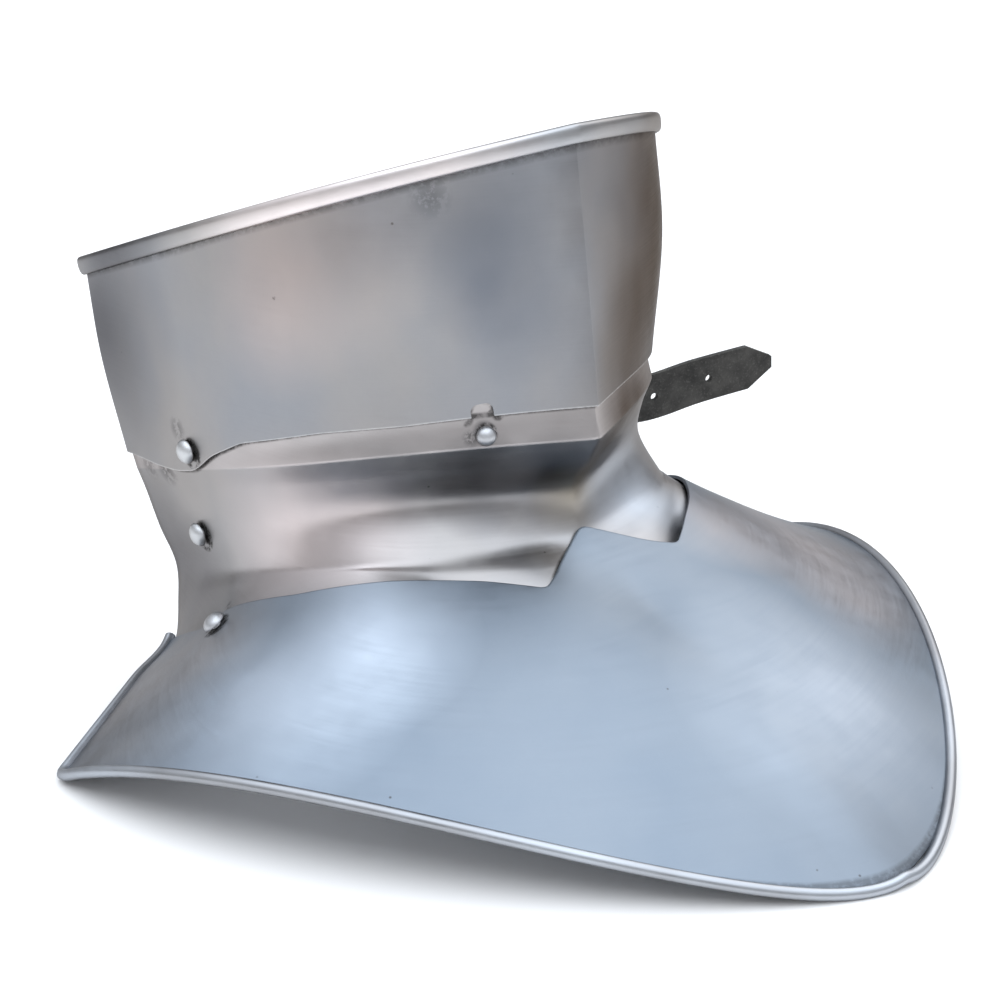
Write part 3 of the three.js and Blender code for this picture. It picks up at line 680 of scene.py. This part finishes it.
def steel(name, tint, second, roughness, bump=0.12, bands=(), patches=(), grime_and_shadow_marks=(), lap_shadow=0.0,
          belt=None):
    material = bpy.data.materials.new(name)
    material.use_nodes = True
    tree = material.node_tree
    bsdf = tree.nodes["Principled BSDF"]
    bsdf.inputs["Metallic"].default_value = 1.0
    bsdf.inputs["Specular Tint"].default_value = (0.45, 0.43, 0.41, 1)
    surface = add_node(tree, "ShaderNodeGroup", {"node_tree": steel_group})
    surface.inputs["Tint"].default_value = (*tint, 1)
    surface.inputs["Second tint"].default_value = (*second, 1)
    surface.inputs["Roughness"].default_value = roughness
    color, rough = surface.outputs["Color"], surface.outputs["Roughness"]
    coords = add_node(tree, "ShaderNodeTexCoord")
    ragged = noise(tree, coords.outputs["Object"], (300, 300, 300), 4.0, 0.7).outputs[0]
    wavy = noise(tree, coords.outputs["Object"], (22, 22, 14), 2.0, 0.5).outputs[0]

    def ball(centre, radius, core):
        settings = {"operation": "DISTANCE"}
        away = add_node(tree, "ShaderNodeVectorMath", settings, i0=coords.outputs["Object"], i1=centre)
        return ranged(tree, away.outputs["Value"], radius, radius * core)

    # A band paints a dark shadow line under a roll, or a light line on a cut edge, broken up by noise.
    def band(color, inner, outer, tone, strength):
        up = add_node(tree, "ShaderNodeSeparateXYZ", i0=coords.outputs["UV"]).outputs[1]
        patchiness = ranged(tree, ragged, 0.35, 0.55, 0.45, 1.0)
        mask = maths(tree, "MULTIPLY", ranged(tree, up, inner, outer), patchiness)
        return mixed(tree, maths(tree, "MULTIPLY", mask, strength), color, (*tone, 1))

    # The belt colour paints a lighter sheen over the neck's band above the ridge, where it meets the light.
    if belt:
        up = add_node(tree, "ShaderNodeSeparateXYZ", i0=coords.outputs["UV"]).outputs[1]
        color = mixed(tree, ranged(tree, up, SHEEN_BAND_FROM, SHEEN_BAND_TO), color, (*belt, 1))
    # Each patch paints a soft ball of colour; most of them are painted reflections, highlights and shade.
    for centre, radius, tone, strength in patches:
        near = maths(tree, "MULTIPLY", ball(centre, radius, 0.1), ranged(tree, wavy, 0.3, 0.6, 0.6, 1.0))
        color = mixed(tree, maths(tree, "MULTIPLY", near, strength), color, (*tone, 1))
    # The lap line is painted shadow: dark close to the edges that lie on the neck and round the notch.
    if lap_shadow:
        away = add_node(tree, "ShaderNodeAttribute", {"attribute_name": "lap"}).outputs["Fac"]
        patchiness = ranged(tree, ragged, 0.35, 0.55, 0.5, 1.0)
        mask = maths(tree, "MULTIPLY", ranged(tree, away, 1.5, 0.6), patchiness)
        color = mixed(tree, maths(tree, "MULTIPLY", mask, lap_shadow), color, (*DARK, 1))
    for inner, outer, tone, strength in bands:
        color = band(color, inner, outer, tone, strength)
    # Dark marks of grime; round the rivets and the stud they also paint contact shadow.
    for centre, radius, core, strength in grime_and_shadow_marks:
        mask = maths(tree, "MULTIPLY", ball(centre, radius, core), ranged(tree, ragged, 0.42, 0.52))
        color = mixed(tree, maths(tree, "MULTIPLY", mask, strength), color, (*DARK, 1))
        rough = maths(tree, "ADD", rough, maths(tree, "MULTIPLY", mask, 0.2))
    tree.links.new(color, bsdf.inputs["Base Color"])
    tree.links.new(rough, bsdf.inputs["Roughness"])
    height = surface.outputs["Height"]
    relief = add_node(tree, "ShaderNodeBump", Strength=bump, Distance=0.0002, Height=height)
    tree.links.new(relief.outputs[0], bsdf.inputs["Normal"])
    return material


def dress(piece, material):
    piece.data.materials.clear()
    piece.data.materials.append(material)


# A dark crescent just below a rivet: grime together with the rivet's painted contact shadow.
def grime_and_shadow_at(at, s, v, shift=(0, -0.0014, -0.0009), radius=0.007):
    centre = seat(at, s, v).translation + Vector(shift)
    return tuple(centre), radius, 0.8, 0.85


dome_steel = steel("rivet steel", (0.62, 0.63, 0.64), (0.52, 0.53, 0.55), 0.42)
print("rivet steel:", len(dome_steel.node_tree.nodes), "nodes")

# %% [markdown]
# A patch is a row of its place in metres, its radius, its colour and how strongly it shows; most
# patches paint reflections, highlights and shade. A mark of grime and painted contact shadow is
# always dark, so instead of a colour it says how much of its radius is solid. The face has painted
# cool reflections high up and a warm one in the middle, a painted brown reflection over the left
# side, and the neck's hollow painted shade.

# %% Marks of the plates
# Most of these tones paint reflections, highlights and shade onto the steel.
BLUE_REFLECTION, WARM_REFLECTION, BROWN_REFLECTION = (0.17, 0.185, 0.215), (0.5, 0.42, 0.39), (0.075, 0.058, 0.047)
SHADE, PINK_HIGHLIGHT, OLIVE = (0.11, 0.112, 0.122), (0.62, 0.55, 0.54), (0.36, 0.32, 0.26)
LEAD_SHADE, SKY_REFLECTION, ROSE_SHADE = (0.18, 0.18, 0.19), (0.46, 0.52, 0.6), (0.5, 0.475, 0.485)
face_steel = steel(
    "face plate steel", (0.345, 0.332, 0.327), (0.295, 0.303, 0.323), 0.36,
    # The first band is a painted shadow under the rolled rim, the second a rubbed edge with a painted
    # highlight.
    bands=[(0.92, 0.965, DARK, 0.85), (0.006, 0.002, RUBBED_AND_HIGHLIGHT, 0.35)],
    # These patches paint dark cool reflections on the right near the keel, a warm reflection further back,
    # shade at the rear of the right side and a brown reflection over the keel and the left side.
    patches=[
        ((-0.072, 0.002, 0.206), 0.03, BLUE_REFLECTION, 0.7), ((-0.072, 0.001, 0.187), 0.028, BLUE_REFLECTION, 0.8),
        ((-0.062, -0.004, 0.17), 0.026, BLUE_REFLECTION, 0.6), ((-0.121, 0.047, 0.195), 0.05, WARM_REFLECTION, 0.7),
        ((-0.126, 0.06, 0.17), 0.035, WARM_REFLECTION, 0.5), ((-0.13, 0.17, 0.14), 0.06, SHADE, 0.8),
        ((0.03, 0.0, 0.21), 0.075, BROWN_REFLECTION, 1.0), ((0.03, 0.0, 0.16), 0.075, BROWN_REFLECTION, 1.0),
        ((0.06, 0.05, 0.18), 0.06, BROWN_REFLECTION, 0.8), ((0.0, 0.0, 0.135), 0.05, BROWN_REFLECTION, 0.6),
    ],
    grime_and_shadow_marks=[
        grime_and_shadow_at(face_at, -PIVOT_SEAT[0], PIVOT_SEAT[1]), grime_and_shadow_at(face_at, *PIVOT_SEAT),
        ((-0.0888, 0.0121, 0.2187), 0.009, 0.2, 0.3), ((-0.127, 0.058, 0.177), 0.001, 0.5, 0.5),
        ((-0.1331, 0.1181, 0.1093), 0.006, 0.3, 0.25),
    ])
# The neck's patches are mostly painted light: shade in the hollow under the ridge, pink highlights, dark and
# brown reflections and sky reflections. Its band above the ridge is painted a lighter sheen, the lap line is
# painted shadow, and the dark marks round the stud and rivets are grime with painted contact shadow.
neck_steel = steel(
    "neck plate steel", (0.38, 0.365, 0.36), (0.34, 0.345, 0.36), 0.36, bump=0.2, lap_shadow=0.85,
    belt=(0.44, 0.415, 0.41),
    patches=[
        ((-0.046, -0.009, 0.105), 0.023, SHADE, 1.0), ((-0.073, 0.004, 0.105), 0.023, SHADE, 1.0),
        ((-0.1, 0.02, 0.102), 0.022, SHADE, 0.6), ((-0.121, 0.06, 0.081), 0.045, PINK_HIGHLIGHT, 0.9),
        ((-0.112, 0.036, 0.088), 0.035, PINK_HIGHLIGHT, 0.7), ((-0.034, -0.006, 0.096), 0.02, OLIVE, 0.8),
        ((-0.0079, -0.0068, 0.1211), 0.03, BROWN_REFLECTION, 1.0), ((0.0114, 0.0052, 0.1215), 0.03, BROWN_REFLECTION, 1.0),
        ((0.04, 0.03, 0.12), 0.035, BROWN_REFLECTION, 0.8), ((-0.1201, 0.148, 0.04), 0.04, LEAD_SHADE, 0.9),
        ((-0.1282, 0.1142, 0.0435), 0.03, LEAD_SHADE, 0.9), ((-0.1201, 0.1563, 0.0551), 0.04, LEAD_SHADE, 0.6),
        ((0.0046, -0.0035, 0.0812), 0.035, SKY_REFLECTION, 0.9), ((0.0586, 0.0426, 0.0666), 0.035, SKY_REFLECTION, 0.6),
    ],
    grime_and_shadow_marks=[
        grime_and_shadow_at(neck_at, *STUD_SEAT, (0.0003, -0.0004, 0.0006), 0.0047),
        grime_and_shadow_at(neck_at, -STRAP_SEAT[0], STRAP_SEAT[1]), grime_and_shadow_at(neck_at, *STRAP_SEAT),
        ((-0.1287, 0.1348, 0.0868), 0.009, 0.2, 0.45), ((-0.124, 0.15, 0.084), 0.008, 0.2, 0.4),
        (tuple(stud_seat.translation + Vector((-0.0045, 0.003, -0.001))), 0.004, 0.3, 0.6),
        ((-0.1364, 0.0853, 0.0458), 0.0035, 0.5, 0.9),
    ])
# The gorget's tints lean blue to paint the sky's reflection. Its patches paint more sky and shade toward the
# rear of the right side, shade on the left lobe and a bluish reflection low in front. The dark line along
# the rolled border is painted shadow.
gorget_steel = steel(
    "gorget plate steel", (0.235, 0.272, 0.318), (0.21, 0.25, 0.3), 0.4, bands=[(0.024, 0.014, DARK, 0.5)],
    patches=[
        ((-0.165, 0.02, 0.04), 0.07, SKY_REFLECTION, 0.9), ((-0.135, -0.005, 0.06), 0.045, SKY_REFLECTION, 0.9),
        ((-0.1862, 0.0941, 0.0092), 0.055, (0.34, 0.34, 0.355), 0.9),
        ((-0.1652, 0.0888, 0.0244), 0.045, (0.45, 0.45, 0.465), 0.9),
        ((-0.1586, 0.069, 0.0381), 0.04, (0.46, 0.46, 0.475), 0.8),
        ((-0.2033, 0.052, 0.012), 0.04, (0.38, 0.38, 0.39), 0.7),
        ((0.0762, -0.0232, 0.0505), 0.065, ROSE_SHADE, 0.9), ((0.0669, -0.0653, 0.0411), 0.04, ROSE_SHADE, 0.6),
        ((0.0299, -0.0232, 0.0716), 0.035, ROSE_SHADE, 0.6),
        ((0.0073, -0.1169, 0.0342), 0.075, (0.4, 0.45, 0.52), 0.8),
    ],
    grime_and_shadow_marks=[
        grime_and_shadow_at(gorget_at, -GORGET_SEAT[0], GORGET_SEAT[1]), grime_and_shadow_at(gorget_at, *GORGET_SEAT),
    ])
# The roll's patches paint a pinkish highlight along its right side, shade at its rear right end and a brown
# reflection on its left front.
roll_steel = steel(
    "rolled rim steel", (0.5, 0.48, 0.465), (0.42, 0.43, 0.445), 0.36,
    patches=[
        ((-0.1098, 0.0325, 0.218), 0.08, (1.0, 0.9, 0.88), 1.0),
        ((-0.1351, 0.1521, 0.1701), 0.075, (0.14, 0.142, 0.153), 0.9),
        ((0.03, 0.0, 0.235), 0.07, BROWN_REFLECTION, 0.5),
    ])
border_steel = steel("rolled border steel", (0.45, 0.48, 0.52), (0.36, 0.37, 0.39), 0.36)
dress(face_plate, face_steel)
dress(neck_plate, neck_steel)
dress(gorget_plate, gorget_steel)
dress(rim_roll, roll_steel)
dress(border_roll, border_steel)
for piece in pieces_steel:
    dress(piece, dome_steel)
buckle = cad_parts["strap_buckle"]
buckle.data.materials.clear()
buckle.data.materials.append(dome_steel)
print("dressed", 5 + len(pieces_steel), "steel pieces and the buckle")

# %% [markdown]
# The strap shows its rough side: a suede that scatters light, mottled where it has been handled.
# Small pale and dark fibres come from two noises of different size, and the cut edges and the
# holes' edges keep the same colour all through.

# %% Leather
leather = bpy.data.materials.new("suede leather")
leather.use_nodes = True
tree = leather.node_tree
bsdf = tree.nodes["Principled BSDF"]
coords = add_node(tree, "ShaderNodeTexCoord").outputs["Object"]
mottle = noise(tree, coords, (90, 90, 90), 4.0, 0.6).outputs[0]
fibre = noise(tree, coords, (900, 900, 900), 3.0, 0.7).outputs[0]
color = mixed(tree, ranged(tree, mottle, 0.35, 0.65), (0.022, 0.021, 0.019, 1), (0.058, 0.055, 0.05, 1))
color = mixed(tree, ranged(tree, fibre, 0.55, 0.75, 0.0, 0.6), color, (0.13, 0.125, 0.115, 1))
tree.links.new(color, bsdf.inputs["Base Color"])
bsdf.inputs["Roughness"].default_value = 0.9
relief = add_node(tree, "ShaderNodeBump", Strength=0.5, Distance=0.0004, Height=fibre)
tree.links.new(relief.outputs[0], bsdf.inputs["Normal"])
dress(strap, leather)
print("leather:", len(tree.nodes), "nodes")

# %% [markdown]
# Steel shows what stands round it more than its own colour. A pale floor, a sky that grows
# brighter upwards and two large soft lights give it broad, quiet reflections.

# %% Floor, light and camera
bpy.ops.object.select_all(action="DESELECT")
bpy.ops.mesh.primitive_plane_add(size=12)
floor = bpy.context.object
floor.name = "floor"
paper = bpy.data.materials.new("pale floor")
paper.use_nodes = True
paper.node_tree.nodes["Principled BSDF"].inputs["Base Color"].default_value = (0.95, 0.93, 0.91, 1)
paper.node_tree.nodes["Principled BSDF"].inputs["Roughness"].default_value = 0.9
floor.data.materials.append(paper)

world = bpy.data.worlds.new("studio")
bpy.context.scene.world = world
world.use_nodes = True
sky = world.node_tree
direction = add_node(sky, "ShaderNodeTexCoord").outputs["Generated"]
ramp = add_node(
    sky, "ShaderNodeValToRGB", i0=add_node(sky, "ShaderNodeSeparateXYZ", i0=direction).outputs[2])
low, high = ramp.color_ramp.elements
low.position, low.color = 0.0, (0.34, 0.33, 0.33, 1)
high.position, high.color = 0.8, (1.05, 1.1, 1.18, 1)
sky.links.new(ramp.outputs[0], sky.nodes["Background"].inputs["Color"])


def soft_light(name, place, target, size, power, tone):
    bpy.ops.object.light_add(type="AREA", location=place)
    lamp = bpy.context.object
    lamp.name = name
    lamp.data.size, lamp.data.energy, lamp.data.color = size, power, tone
    lamp.rotation_euler = (Vector(target) - Vector(place)).to_track_quat("-Z", "Y").to_euler()


soft_light("key light", (-0.3, -0.2, 2.3), (0, 0, 0.1), 3.6, 52, (0.86, 0.93, 1.0))
soft_light("fill light", (1.7, 0.4, 1.5), (0, 0, 0.1), 1.6, 10, (1.0, 0.97, 0.94))

shift = Vector(FRAME_SHIFT) / 1000
bpy.ops.object.camera_add(location=Vector((-0.6556, -0.8213, 0.4871)) + shift)
camera = bpy.context.object
aim = Vector((0, -0.04, 0.075)) + shift
camera.rotation_euler = (aim - camera.location).to_track_quat("-Z", "Y").to_euler()
camera.data.lens, camera.data.sensor_width = 99, 36
bpy.context.scene.camera = camera
bpy.context.scene.view_settings.view_transform = "Standard"
print("camera at", camera.location, "looks at", aim)
